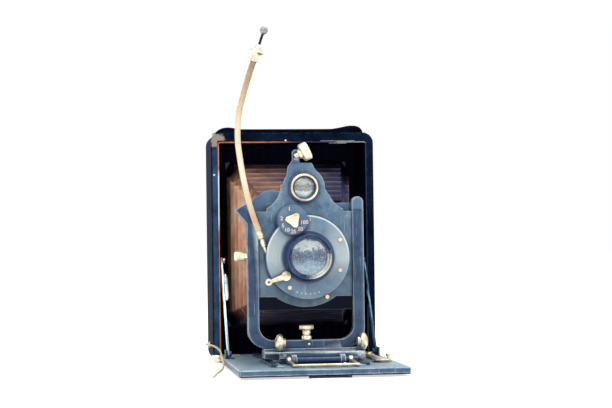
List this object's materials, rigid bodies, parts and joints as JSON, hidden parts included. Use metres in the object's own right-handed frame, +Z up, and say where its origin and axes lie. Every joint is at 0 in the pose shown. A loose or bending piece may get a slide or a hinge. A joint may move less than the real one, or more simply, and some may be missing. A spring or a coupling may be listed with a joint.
{
  "type": "folding plate camera",
  "caption": "Folding camera with a drop bed, bellows and a sliding front standard that carries a leaf shutter, a swivelling finder and a cable release; focusing back with a lid",
  "frame": {"origin": "centre of the box's base face, on the surface it stands on", "axes": "+X right as seen from the lens side, +Y from the lens to the focusing back, +Z up"},
  "size_m": [0.1216, 0.1954, 0.2135],
  "materials": {
    "stained_wood": "dark stained hardwood box, sealed on the inside",
    "blue_black_leather": "fine pebbled leather, blue-black, rubbed at corners",
    "black_leather": "stitched strap leather, black",
    "brown_bellows_leather": "thin worn folded leather, brown with pale rubbed ridges",
    "tan_lace_leather": "cut leather lace, tan",
    "slate_blue_enamel": "slate blue stoved enamel on pressed brass, worn at edges",
    "dark_blue_enamel": "darker blue stoved enamel",
    "black_enamel": "black satin enamel",
    "brown_enamel": "brown enamelled foot",
    "pale_blue_steel": "bright plated steel strip",
    "aged_nickel": "aged nickel plate, warm",
    "dull_nickel": "dulled nickel plate",
    "brass": "turned brass",
    "black_steel": "blackened spring steel",
    "cream_cloth": "woven cloth over a wire coil, cream",
    "lens_glass": "clear polished glass",
    "ground_screen_glass": "finely ground glass"
  },
  "bodies": {
    "camera_body": {"body_shell": "stained_wood", "leather_cover": "blue_black_leather", "back_rails": "black_enamel", "handle_strap": "black_leather", "strap_anchors": "dull_nickel", "body_knuckles": "aged_nickel", "hinge_pins": "aged_nickel", "bellows_rear": "brown_bellows_leather", "lace_eyelet": "aged_nickel", "lace": "tan_lace_leather"},
    "bed": {"bed_plate": "slate_blue_enamel", "bed_leather": "blue_black_leather", "bed_knuckles": "aged_nickel", "bed_guides": "pale_blue_steel", "bed_bush": "brass", "leg_hinge": "black_enamel", "strut_feet": "pale_blue_steel", "lever_post": "aged_nickel"},
    "strut_left": {"strut_left": "pale_blue_steel"},
    "strut_right": {"strut_right": "pale_blue_steel"},
    "leg": {"stand_leg": "brown_enamel"},
    "focus_lever": {"focus_lever": "aged_nickel"},
    "focus_track": {"focus_track": "pale_blue_steel"},
    "standard_base": {"base_sled": "slate_blue_enamel", "clamp_tube": "dark_blue_enamel"},
    "bail": {"bail_wire": "aged_nickel"},
    "clamp_left": {"clamp_left": "aged_nickel"},
    "clamp_right": {"clamp_right": "aged_nickel"},
    "standard_frame": {"u_frame": "slate_blue_enamel", "rear_board": "dark_blue_enamel", "bellows_front": "brown_bellows_leather"},
    "cross_lock": {"cross_lock": "aged_nickel"},
    "rise_lock": {"rise_lock": "aged_nickel"},
    "lens_panel": {"lens_panel": "slate_blue_enamel", "shutter_case": "slate_blue_enamel", "shutter_cover": "slate_blue_enamel", "lens_barrel": "black_enamel", "front_glass": "lens_glass", "rear_cell": "black_enamel", "rear_glass": "lens_glass", "finder_ring": "aged_nickel", "finder_glass": "lens_glass", "cable_socket": "aged_nickel", "cover_screws": "aged_nickel", "cable_sheath": "cream_cloth", "cable_collar": "aged_nickel"},
    "finder_head": {"finder_head": "aged_nickel"},
    "speed_dial": {"speed_dial": "dark_blue_enamel"},
    "cocking_lever": {"cocking_lever": "aged_nickel"},
    "iris_pointer": {"iris_pointer": "aged_nickel"},
    "iris_blade_1": {"iris_blade_1": "black_steel"},
    "iris_blade_2": {"iris_blade_2": "black_steel"},
    "iris_blade_3": {"iris_blade_3": "black_steel"},
    "shutter_blade_1": {"shutter_blade_1": "black_steel"},
    "shutter_blade_2": {"shutter_blade_2": "black_steel"},
    "cable_plunger": {"cable_plunger": "aged_nickel"},
    "focus_back": {"focus_back": "black_enamel", "ground_glass": "ground_screen_glass"},
    "hood_lid": {"hood_lid": "black_enamel"},
    "bed_catch": {"bed_catch": "dull_nickel"}
  },
  "joints": [
    {"name": "bed_fold", "type": "hinge", "parent": "camera_body", "child": "bed", "pos_m": [0, -0.0234, 0.0035], "axis": [-1, 0, 0], "range_deg": [0, 12], "deforming": ["bellows_rear"]},
    {"name": "strut_left_turn", "type": "hinge", "parent": "bed", "child": "strut_left", "pos_m": [-0.0483, -0.058, 0.0085], "axis": [-1, 0, 0], "range_deg": [-10, 0]},
    {"name": "strut_right_turn", "type": "hinge", "parent": "bed", "child": "strut_right", "pos_m": [0.0483, -0.058, 0.0085], "axis": [-1, 0, 0], "range_deg": [-10, 0]},
    {"name": "leg_fold", "type": "hinge", "parent": "bed", "child": "leg", "pos_m": [0.00125, -0.1576, 0.001], "axis": [-1, 0, 0], "range_deg": [0, 80]},
    {"name": "focus_slide", "type": "slide", "parent": "bed", "child": "focus_track", "axis": [0, -1, 0], "range_m": [-0.0009, 0.0055]},
    {"name": "focus_turn", "type": "hinge", "parent": "bed", "child": "focus_lever", "pos_m": [0.041, -0.071, 0.0071], "axis": [0, 0, 1], "range_deg": [-5, 30]},
    {"name": "standard_slide", "type": "slide", "parent": "focus_track", "child": "standard_base", "axis": [0, 1, 0], "range_m": [-0.02, 0.03], "deforming": ["bellows_front"]},
    {"name": "bail_lift", "type": "hinge", "parent": "standard_base", "child": "bail", "pos_m": [0.0029, -0.121, 0.0081], "axis": [-1, 0, 0], "range_deg": [0, 75]},
    {"name": "clamp_left_press", "type": "hinge", "parent": "standard_base", "child": "clamp_left", "pos_m": [-0.0192, -0.1135, 0.0109], "axis": [0, 1, 0], "range_deg": [0, 10], "stiffness_Nm_per_rad": 0.02},
    {"name": "clamp_right_press", "type": "hinge", "parent": "standard_base", "child": "clamp_right", "pos_m": [0.0275, -0.1135, 0.0109], "axis": [0, -1, 0], "range_deg": [0, 10], "stiffness_Nm_per_rad": 0.02},
    {"name": "cross_shift", "type": "slide", "parent": "standard_base", "child": "standard_frame", "axis": [1, 0, 0], "range_m": [-0.006, 0.014]},
    {"name": "cross_lock_turn", "type": "hinge", "parent": "standard_frame", "child": "cross_lock", "pos_m": [-0.004, -0.107, 0.0226], "axis": [0, 0, 1], "range_deg": [-90, 90]},
    {"name": "front_rise", "type": "slide", "parent": "standard_frame", "child": "lens_panel", "axis": [0, 0, 1], "range_m": [-0.008, 0.012]},
    {"name": "rise_lock_turn", "type": "hinge", "parent": "standard_frame", "child": "rise_lock", "pos_m": [-0.046, -0.107, 0.0719], "axis": [1, 0, 0], "range_deg": [-90, 90]},
    {"name": "finder_swivel", "type": "hinge", "parent": "lens_panel", "child": "finder_head", "pos_m": [-0.0092, -0.107, 0.1352], "axis": [0, 1, 0], "range_deg": [-64, 8]},
    {"name": "dial_turn", "type": "hinge", "parent": "lens_panel", "child": "speed_dial", "pos_m": [-0.0134, -0.119, 0.0938], "axis": [0, 1, 0], "range_deg": [-120, 120]},
    {"name": "cocking_turn", "type": "hinge", "parent": "lens_panel", "child": "cocking_lever", "pos_m": [-0.018, -0.119, 0.0596], "axis": [0, -1, 0], "range_deg": [0, 50], "stiffness_Nm_per_rad": 0.004},
    {"name": "iris_turn", "type": "hinge", "parent": "lens_panel", "child": "iris_pointer", "pos_m": [-0.004, -0.11, 0.071], "axis": [0, 1, 0], "range_deg": [0, 50]},
    {"name": "iris_blade_1_turn", "type": "hinge", "parent": "lens_panel", "child": "iris_blade_1", "pos_m": [0.01332, -0.1106, 0.081], "axis": [0, 1, 0], "range_deg": [-40.5, 0]},
    {"name": "iris_blade_2_turn", "type": "hinge", "parent": "lens_panel", "child": "iris_blade_2", "pos_m": [-0.02132, -0.111, 0.081], "axis": [0, 1, 0], "range_deg": [-40.5, 0]},
    {"name": "iris_blade_3_turn", "type": "hinge", "parent": "lens_panel", "child": "iris_blade_3", "pos_m": [-0.004, -0.1114, 0.051], "axis": [0, 1, 0], "range_deg": [-40.5, 0]},
    {"name": "release_press", "type": "slide", "parent": "lens_panel", "child": "cable_plunger", "axis": [-0.3289, 0, -0.9444], "range_m": [0, 0.0045], "stiffness_N_per_m": 120},
    {"name": "shutter_blade_1_turn", "type": "hinge", "parent": "lens_panel", "child": "shutter_blade_1", "pos_m": [-0.001, -0.11275, 0.0898], "axis": [0, 1, 0], "range_deg": [0, 30.5]},
    {"name": "shutter_blade_2_turn", "type": "hinge", "parent": "lens_panel", "child": "shutter_blade_2", "pos_m": [-0.007, -0.11225, 0.0898], "axis": [0, 1, 0], "range_deg": [-30.5, 0]},
    {"name": "back_slide", "type": "slide", "parent": "camera_body", "child": "focus_back", "axis": [0, 0, 1], "range_m": [0, 0.15]},
    {"name": "lid_turn", "type": "hinge", "parent": "focus_back", "child": "hood_lid", "pos_m": [0, 0.0308, 0.1476], "axis": [1, 0, 0], "range_deg": [0, 110]},
    {"name": "catch_press", "type": "slide", "parent": "camera_body", "child": "bed_catch", "axis": [0, 0, -1], "range_m": [0, 0.001], "stiffness_N_per_m": 400}
  ],
  "couplings": [
    {"joint": "strut_left_turn", "follows": "bed_fold", "ratio": -0.8075},
    {"joint": "strut_right_turn", "follows": "bed_fold", "ratio": -0.8075},
    {"joint": "focus_turn", "follows": "focus_slide", "rad_per_m": 92.6},
    {"joint": "iris_blade_1_turn", "follows": "iris_turn", "ratio": -0.8},
    {"joint": "iris_blade_2_turn", "follows": "iris_turn", "ratio": -0.8},
    {"joint": "iris_blade_3_turn", "follows": "iris_turn", "ratio": -0.8},
    {"joint": "shutter_blade_1_turn", "follows": "release_press", "rad_per_m": 116.36},
    {"joint": "shutter_blade_2_turn", "follows": "release_press", "rad_per_m": -116.36}
  ]
}
